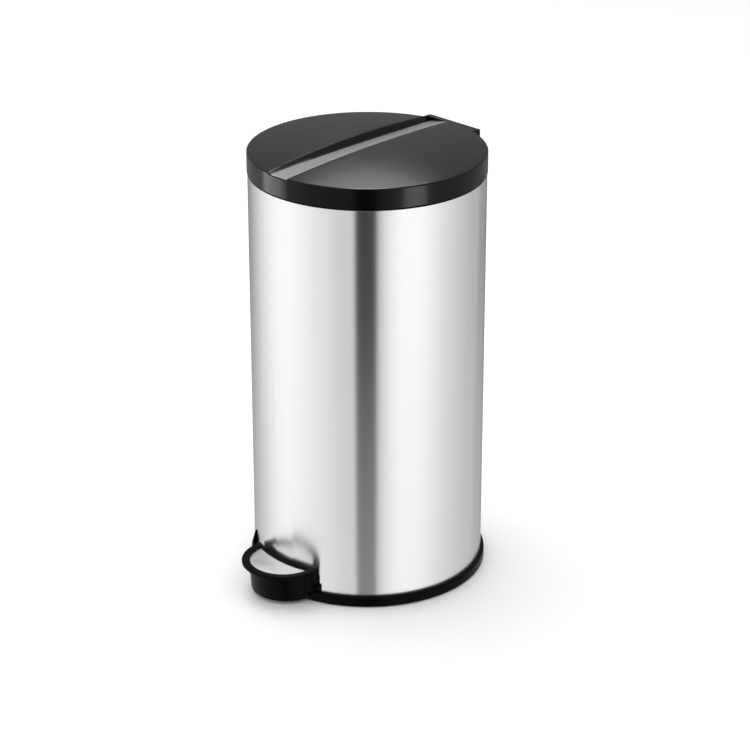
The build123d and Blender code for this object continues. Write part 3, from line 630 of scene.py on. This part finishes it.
def lid_rows():
    """Rows of points over the lid's top, from the front rim to the back one."""
    radius = LID_R - LID_ROUNDING
    lines = channel_lines()
    ends = []
    for line, _ in lines:
        back = rim_crossing(line, radius, 1)
        ends.append((rim_crossing(line, radius, -1), min(LID_R - CHANNEL_END, back - 0.6), back))
    main, side = 88, 18
    shares = [(False, (1 - math.cos(math.pi * i / main)) / 2) for i in range(main + 1)]
    shares += [(True, 0.12), (True, 0.5), (True, 1.0)]
    rows = []
    for past_channel, share in shares:
        middle = []
        for (line, drop), (front, stop, back) in zip(lines, ends):
            y = stop + (back - stop) * share if past_channel else front + (stop - front) * share
            sunk = 0.0 if past_channel else drop(y)
            x = line(y)
            middle.append(Vector((x, y, dome(x, y) - sunk)))
        row = middle
        for way, edge in ((-1, 0), (1, -1)):
            line, (front, _, back) = lines[edge][0], ends[edge]
            start, stop = math.atan2(line(front), -front), math.atan2(line(back), -back)
            if way < 0:
                stop -= ROUND if stop > 0 else 0
            else:
                stop += ROUND if stop < 0 else 0
            along = (middle[edge].y - front) / (back - front)
            turn = math.acos(max(-1.0, min(1.0, 1 - 2 * along))) / math.pi
            angle = start + (stop - start) * turn
            rim = Vector((radius * math.sin(angle), -radius * math.cos(angle), 0))
            fill = []
            for i in range(1, side + 1):
                p = middle[edge].lerp(rim, i / side)
                fill.append(Vector((p.x, p.y, dome(p.x, p.y))))
            row = list(reversed(fill)) + row if way < 0 else row + fill
        rows.append(row)
    return rows


def rim_pulled(bm, steps):
    """Pulls the open rim out and down: each step is (radius, drop) or (radius, None, height)."""
    rim = [e for e in bm.edges if e.is_boundary]
    for step in steps:
        grown = bmesh.ops.extrude_edge_only(bm, edges=rim)["geom"]
        rim = [e for e in grown if isinstance(e, bmesh.types.BMEdge) and e.is_boundary]
        for v in {v for e in rim for v in e.verts}:
            scale = step[0] / math.hypot(v.co.x, v.co.y)
            z = step[2] if step[1] is None else v.co.z - step[1]
            v.co = (v.co.x * scale, v.co.y * scale, z)
    return bm


def channel_end():
    """The last stretch of the channel, which runs through the lid's rim into the housing."""
    stop, count, play, rows = LID_R - CHANNEL_END, 4, 0.05, []
    for i in range(count + 1):
        y = RIM_CUT + (stop - RIM_CUT) * i / count
        left, right = channel_left(y) + play, strip_right(y) - play
        valley = left + CHANNEL_WALL
        rows.append(
            [
                (left, y, LID_TOP + 3),
                (left, y, dome(left, y)),
                (valley, y, dome(valley, y) - channel_depth(y) + play),
                (right, y, dome(right, y) - STRIP_BED + play),
                (right, y, LID_TOP + 3),
            ]
        )
    return capped(lofted(rows, closed=True))


def lid_bowl():
    """The lid's top and its turned-down band, open underneath."""
    bm = lofted(lid_rows())
    bmesh.ops.remove_doubles(bm, verts=bm.verts, dist=1e-3)
    radius, edge, bends = LID_R - LID_ROUNDING, LID_ROUNDING, 5
    steps, dropped = [], 0.0
    for k in range(1, bends + 1):
        a = math.pi / 2 * k / bends
        drop = edge * (1 - math.cos(a))
        steps.append((radius + edge * math.sin(a), drop - dropped))
        dropped = drop
    inside = LID_R - LID_WALL
    steps += [
        (LID_R, 0.3),
        (LID_R, None, LID_BOTTOM + 0.9),
        (LID_R, None, LID_BOTTOM + 0.5),
        (LID_R - 0.15, None, LID_BOTTOM + 0.12),
        (LID_R - 0.5, None, LID_BOTTOM),
        (inside + 0.3, None, LID_BOTTOM),
        (inside, None, LID_BOTTOM + 0.3),
        (inside, None, LINER_HIGH.z - 1.0),
    ]
    return capped(rim_pulled(bm, steps))


def lid():
    """The black lid with its hinge housing at the back and the two lugs that turn on the pin."""
    half, wall = HOUSING_HALF, HOUSING_WALL
    back, housing_low = HINGE.y + 3.5, HINGE.z + 5.1
    bm = lid_bowl()
    housing = block((-half, HOUSING_FRONT, housing_low), (half, back, LID_EDGE), 1.0)
    under_channel = block((-half - 0.5, HOUSING_FRONT - 5, LINER_HIGH.z), (0, RIM_CUT, LID_TOP))
    housing = worked(housing, "DIFFERENCE", under_channel)
    room_r, room_top = LID_R - LID_WALL + 0.4, LINER_HIGH.z - 0.5
    room = rod(room_r, (0, 0, LID_BOTTOM - 5), (0, 0, room_top), steps=288)
    housing = worked(housing, "DIFFERENCE", room)
    lug_in, lug_out, lug_r = 36.0, 39.5, 4.3
    lugs = []
    for side in (-1, 1):
        near, far = sorted((side * lug_in, side * lug_out))
        lugs.append(block((near, HINGE.y - lug_r, HINGE.z), (far, back - 0.5, LID_EDGE - 4), 0.3))
        lugs.append(rod(lug_r, (near, HINGE.y, HINGE.z), (far, HINGE.y, HINGE.z), edge=0.3))
    hollow_top = (half - wall, back - wall, LID_EDGE - wall)
    hollow = block((wall - half, LID_R + 0.2, housing_low - 2), hollow_top, 0.5)
    below = block((-half, 100, LID_BOTTOM - 5), (half, back + 5, housing_low))
    bm = worked(bm, "DIFFERENCE", below)
    bm = worked(bm, "UNION", worked(housing, "DIFFERENCE", hollow))
    bm = worked(bm, "DIFFERENCE", channel_end())
    piece("lid_cover", together(bm, *lugs), "lid", LID_BLACK, ["lid_shell"], 26)


def lid_strip_bar():
    """The silver strip on the channel's slope, flush with the lid at its right edge."""
    radius, count = LID_R - 0.3, 96
    wide, thick = STRIP_WIDE, STRIP_THICK

    def slope(y, off):
        valley = channel_valley(y)
        x = strip_right(y) - off
        share = (x - valley) / (strip_right(y) - valley)
        low = dome(valley, y) - channel_depth(y)
        high = dome(strip_right(y), y) - STRIP_BED
        return x, low + (high - low) * share

    def beside_right(off):
        return lambda y: strip_right(y) - off

    section = [(0.0, 0.02), (0.0, thick - 0.25), (0.25, thick)]
    section += [(wide / 3, thick), (wide * 2 / 3, thick)]
    section += [(wide - 0.3, thick), (wide, thick - 0.3), (wide, 0.02)]
    ends = []
    for off, _ in section:
        line = beside_right(off)
        back = min(LID_R - CHANNEL_END - 0.3, rim_crossing(line, LID_R, 1) - 1.6)
        ends.append((rim_crossing(line, radius, -1), back))
    rows = []
    for i in range(count + 1):
        row = []
        for (off, up), (front, back) in zip(section, ends):
            y = front + (back - front) * i / count
            x, z = slope(y, off)
            row.append((x, y, z + up))
        rows.append(row)
    bm = capped(lofted(rows, closed=True))
    piece("strip_silver", bm, "lid", STRIP, ["lid_strip"], 26)


def under_lid():
    """The liner under the lid, with the lever, the buffers and the screws that it carries."""
    low, high = LINER_LOW.z + 10.0, LINER_HIGH.z - 2.0
    r, rib = LINER_HIGH.x, 115.0
    corners = [
        (0, high),
        (r, high, 0.8),
        (r, LINER_LOW.z, 1.0),
        (r - 4.0, LINER_LOW.z, 1.0),
        (r - 4.0, low, 1.2),
        (rib + 3.0, low, 0.8),
        (rib + 2.0, low - 0.8, 0.8),
        (rib - 2.0, low - 0.8, 0.8),
        (rib - 3.0, low, 0.8),
        (0, low),
    ]
    liner = turned(corners, closed=False)
    notch_left, notch_right = -3.0, 9.2
    notch = block((notch_left, SHELL_R - 20, LINER_LOW.z - 5), (notch_right, SHELL_R, low - 0.01))
    piece("liner_moulding", worked(liner, "DIFFERENCE", notch), "lid", INNER, ["lid_liner"])
    refined("liner_screws", ZINC)
    refined("lid_lever", ZINC, 0.2)
    refined("lever_screws", ZINC)
    refined("lid_buffers", RUBBER, 0.3)


# ---------------------------------------------------------------- pedal
def pedal_outline(inset, high):
    """An upright block with the pedal's round outline."""
    r = PEDAL_R - inset
    return turned([(0, 0), (r, 0), (r, high), (0, high)], closed=False, steps=192, about=(0, PEDAL_Y))


PEDAL_GAP = SHELL_R + 2.4  # radius of the pedal's rear edge, which follows the shell


def pedal_rear_bar(low, high):
    """The curved bar along the shell, with a narrow groove in its top."""
    outer, groove_in, groove_out, groove_deep = 5.0, 1.75, 3.0, 1.0
    corners = [
        (PEDAL_GAP, low, 0.6),
        (PEDAL_GAP + outer, low, 0.8),
        (PEDAL_GAP + outer, high, 0.7),
        (PEDAL_GAP + groove_out, high, 0.4),
        (PEDAL_GAP + groove_out, high - groove_deep, 0.2),
        (PEDAL_GAP + groove_in, high - groove_deep, 0.2),
        (PEDAL_GAP + groove_in, high, 0.4),
        (PEDAL_GAP, high, 0.6),
    ]
    return worked(turned(corners, steps=360), "INTERSECT", pedal_outline(0.1, high + 5))


def pedal_cheeks(high, top):
    """The two short webs that close the skirt's ends beside the shell."""
    low, near, far, half = RING_HIGH.z + 3.4, PEDAL_GAP + 1.2, PEDAL_GAP + 10.2, 42.0
    corners = [(near, low, 0.6), (far, low, 0.6), (far, high), (near, high)]
    both = worked(turned(corners, steps=360), "INTERSECT", pedal_outline(0.5, top))
    return worked(both, "DIFFERENCE", block((-half, -SHELL_R - 60, 0), (half, 0, top)))


def pedal():
    """The black pedal frame: flange, raked skirt and web, with the rear bar and the cheeks."""
    top, low = PEDAL_HIGH.z, PEDAL_LOW.z
    seat, under, bar_low = top - 2.8, top - 3.8, top - 8.5
    opening, ledge = 44.5, 41.0
    corners = [
        (opening, top, 0.7),
        (PEDAL_R, top, 1.5),
        (PEDAL_R, under, 0.9),
        (45.8, under, 0.8),
        (46.8, low, 0.8),
        (44.3, low, 0.8),
        (43.4, under, 0.3),
        (ledge, under, 0.3),
        (ledge, seat, 0.3),
        (opening, seat),
    ]
    frame_ring = turned(corners, steps=192, about=(0, PEDAL_Y))
    web_r, web_low, web_high = 45.0, 34.0, 36.5
    corners = [(0, web_low), (web_r, web_low), (web_r, web_high), (0, web_high)]
    web = turned(corners, closed=False, steps=96, about=(0, PEDAL_Y))
    rake, rake_top = 5.0, top - 1.0
    for shape in (frame_ring, web):
        for v in shape.verts:
            if v.co.z < under - 0.1:
                v.co.y += rake * (rake_top - v.co.z) / (rake_top - low)
    frame_ring = worked(frame_ring, "UNION", web)
    ring_gap, floor_low, clear_top = RING_HIGH.x + 2.4, -5, top + 5
    corners = [(0, floor_low), (ring_gap, floor_low), (ring_gap, bar_low)]
    corners += [(PEDAL_GAP, bar_low), (PEDAL_GAP, clear_top), (0, clear_top)]
    frame_ring = worked(frame_ring, "DIFFERENCE", turned(corners, closed=False, steps=360))
    bar = pedal_rear_bar(bar_low, top)
    cheeks = pedal_cheeks(under + 0.4, top)
    frame_ring = worked(worked(frame_ring, "UNION", bar), "UNION", cheeks)
    piece("pedal_black", frame_ring, "pedal", BLACK, ["pedal_frame"], 30)
    refined("pedal_plate", TREAD, 0.25)
    refined("pedal_lever", ZINC, 0.3)
    refined("pedal_screws", ZINC)
    refined("lever_shoe", NYLON, 0.4)
    refined("pivot_pin", PIN, 0.4)
    refined("pin_clips", ZINC)


# ---------------------------------------------------------------- bucket, hinge and linkage
def bucket():
    """The lift-out bucket with its flat rim and raised floor, its bail and the bail's grip."""
    top, low = BUCKET_HIGH.z, BUCKET_LOW.z
    r, base_r = BUCKET_HIGH.x - 4.0, BUCKET_HIGH.x - 11.5
    corners = [
        (0, low + 2.0),
        (base_r - 14.0, low + 2.0, 1.0),
        (base_r - 12.0, low, 1.0),
        (base_r, low, 3.0),
        (r, top - 2.0, 0.6),
        (r + 4.0, top - 2.0, 0.6),
        (r + 4.0, top, 0.7),
        (r - 1.5, top, 0.7),
        (base_r - 1.5, low + 1.5, 4.0),
        (base_r - 12.5, low + 1.5, 0.6),
        (base_r - 14.5, low + 3.5, 1.0),
        (0, low + 3.5),
    ]
    moulding = turned(corners, closed=False, steps=224)
    piece("bucket_moulding", moulding, "bin", BUCKET, ["inner_bucket"])
    refined("bucket_bail", PIN)
    refined("bail_grip", NYLON)


def hinge_and_linkage():
    refined("hinge_bracket", BLACK, 0.4)
    refined("hinge_screws", ZINC)
    refined("hinge_pin", PIN, 0.3)
    refined("pivot_bracket", ZINC, 0.3)
    refined("bracket_screws", ZINC)
    refined("pivot_bushes", NYLON)
    refined("rod_guide_lower", NYLON, 0.4)
    refined("rod_guide_upper", NYLON, 0.4)
    refined("push_rod", PIN)
    refined("rod_foot", NYLON, 0.4)


steel_shell()
base()
collar()
lid()
lid_strip_bar()
under_lid()
pedal()
bucket()
hinge_and_linkage()


# ---------------------------------------------------------------- camera, floor and light
CAMERA_TURN = 46.0
CAMERA_AWAY, CAMERA_HIGH = 2.9677, 1.5594
CAMERA_DIP, CAMERA_AIM = 23.685, 0.185
TO_CAMERA = Vector((math.sin(math.radians(CAMERA_TURN)), -math.cos(math.radians(CAMERA_TURN)), 0))
TO_RIGHT = Vector((-TO_CAMERA.y, TO_CAMERA.x, 0))


def camera():
    data = bpy.data.cameras.new("camera")
    data.sensor_width = 36.0
    data.lens = 120.17
    data.clip_end = 60.0
    made = bpy.data.objects.new("camera", data)
    made.location = TO_CAMERA * CAMERA_AWAY + Vector((0, 0, CAMERA_HIGH))
    made.rotation_euler = (math.radians(90 - CAMERA_DIP), 0, math.radians(CAMERA_TURN - CAMERA_AIM))
    bpy.context.scene.collection.objects.link(made)
    bpy.context.scene.camera = made


def stage_disc(name, radius, height, finish):
    """A round, level sheet that belongs to the studio and not to the bin."""
    bm = bmesh.new()
    bmesh.ops.create_circle(bm, cap_ends=True, segments=96, radius=radius)
    bmesh.ops.translate(bm, vec=(0, 0, height), verts=bm.verts)
    mesh = bpy.data.meshes.new(name)
    bm.to_mesh(mesh)
    bm.free()
    mesh.materials.append(finish)
    made = bpy.data.objects.new(name, mesh)
    bpy.context.scene.collection.objects.link(made)
    return made


def floor():
    """The pale floor, and the sheen round the bin that only the steel mirrors."""
    f = Finish("studio_floor", Roughness=0.35, Specular_IOR_Level=0.25)
    cloud = f.noise(f.place, 1.5, 2.0)
    f.set(Base_Color=f.mixed(cloud, (0.90, 0.90, 0.90), (0.915, 0.915, 0.915)))
    made = stage_disc("floor", 14.0, 0.0, f.material)
    made.visible_glossy = False

    glow = Finish("floor_glow")
    far = (glow.x * glow.x + glow.y * glow.y) ** 0.5
    sheen_in, sheen_out, sheen_share = 0.16, 1.4, 0.29
    share = glow.spread(far, sheen_in, sheen_out, sheen_share, 0.0)
    light = glow.add("ShaderNodeEmission", {"Color": (1, 1, 1), "Strength": 0.9})
    clear = glow.add("ShaderNodeBsdfTransparent")
    mix = glow.add("ShaderNodeMixShader", {0: share, 1: clear, 2: light})
    out = next(n for n in glow.tree.nodes if n.type == "OUTPUT_MATERIAL")
    glow.feed(out.inputs["Surface"], mix)
    near = stage_disc("floor_sheen", sheen_out, -0.002, glow.material)
    near.visible_camera = False
    near.visible_diffuse = False
    near.visible_shadow = False
    near.visible_transmission = False


def surroundings():
    """A studio as the bright steel mirrors it: wide soft boxes either side and one narrow dark gap."""
    world = bpy.data.worlds.new("studio")
    world.use_nodes = True
    bpy.context.scene.world = world
    b = Bench(world.node_tree)
    b.tree.nodes.clear()
    way = b.add("ShaderNodeTexCoord", output="Generated")
    ahead = b.add("ShaderNodeVectorMath", {0: way, 1: TO_CAMERA}, output="Value", operation="DOT_PRODUCT")
    right = b.add("ShaderNodeVectorMath", {0: way, 1: TO_RIGHT}, output="Value", operation="DOT_PRODUCT")
    up = b.split(way)[2]
    turn = b.add("ShaderNodeMath", {0: right, 1: ahead}, operation="ARCTAN2") * (180 / math.pi)
    tones = [
        (-180, 0.28), (-165, 0.27), (-149, 0.42), (-136, 0.62), (-123, 0.87), (-109, 1.09),
        (-94, 1.26), (-80, 1.27), (-68, 1.19), (-46, 0.98), (-36, 0.92), (-26, 0.78), (-13, 0.78),
        (-10.5, 0.04), (7.5, 0.05), (10, 0.6), (14, 0.82), (22, 1.06), (31, 1.25), (42, 1.27),
        (52, 1.25), (63, 1.14), (74, 0.98), (87, 0.85), (101, 0.72), (117, 0.58), (129, 0.58),
        (139, 0.38), (149, 0.4), (165, 0.2), (180, 0.28),
    ]
    scale = 1.5
    high_start, high_end, overhead = math.radians(28), math.radians(52), 1.2
    level = b.add(
        "ShaderNodeValToRGB",
        {0: (turn + 180.0) / 360.0},
        stops=[((t + 180) / 360, v / scale) for t, v in tones],
    )
    above = b.spread(up, 0.0, 0.15, 0.0, 1.0) * b.spread(ahead, -0.6, -0.9, 0.0, 1.0)
    round_tone = b.split(level)[0] * scale * (above * 0.7 + 1.0)
    high = b.spread(up, math.sin(high_start), math.sin(high_end), 0.0, 1.0)
    tone = round_tone * (1 - high) + high * overhead
    light = b.add("ShaderNodeBackground", {"Color": (1, 1, 1), "Strength": tone})
    out = b.tree.nodes.new("ShaderNodeOutputWorld")
    b.feed(out.inputs["Surface"], light)


def lamp(name, place, size, energy, target=(0, 0, 0)):
    """A round soft light that points at a place."""
    data = bpy.data.lights.new(name, "AREA")
    data.shape = "DISK"
    data.size = size
    data.energy = energy
    made = bpy.data.objects.new(name, data)
    made.location = place
    made.rotation_euler = (Vector(place) - Vector(target)).to_track_quat("Z", "Y").to_euler()
    bpy.context.scene.collection.objects.link(made)
    return made


def lights():
    """One key light from behind for the floor's shade, and four glows that only the lid shows."""
    key = lamp("key", -TO_CAMERA * 0.9 - TO_RIGHT * 0.5 + Vector((0, 0, 3.0)), 2.6, 40.0)
    key.visible_glossy = False

    lid_only = bpy.data.collections.new("lid_only")
    lid_only.objects.link(bpy.data.objects["lid_cover"])
    for name, turn, far, high, size, energy in (
        ("lid_top_glow", 180, 0.62, 1.03, 0.28, 0.55),
        ("band_left_glow", -95, 1.0, 0.19, 0.5, 2.8),
        ("band_right_glow", 43, 1.0, 0.15, 0.42, 2.6),
        ("edge_glow", 0, 0.0, 2.4, 0.8, 160.0),
    ):
        way = TO_CAMERA * math.cos(math.radians(turn)) + TO_RIGHT * math.sin(math.radians(turn))
        glow = lamp(name, way * far + Vector((0, 0, high)), size, energy, (0, 0, 0.56))
        glow.visible_camera = False
        glow.visible_diffuse = False
        glow.light_linking.receiver_collection = lid_only


camera()
floor()
surroundings()
lights()
bpy.context.scene.view_settings.view_transform = "Standard"
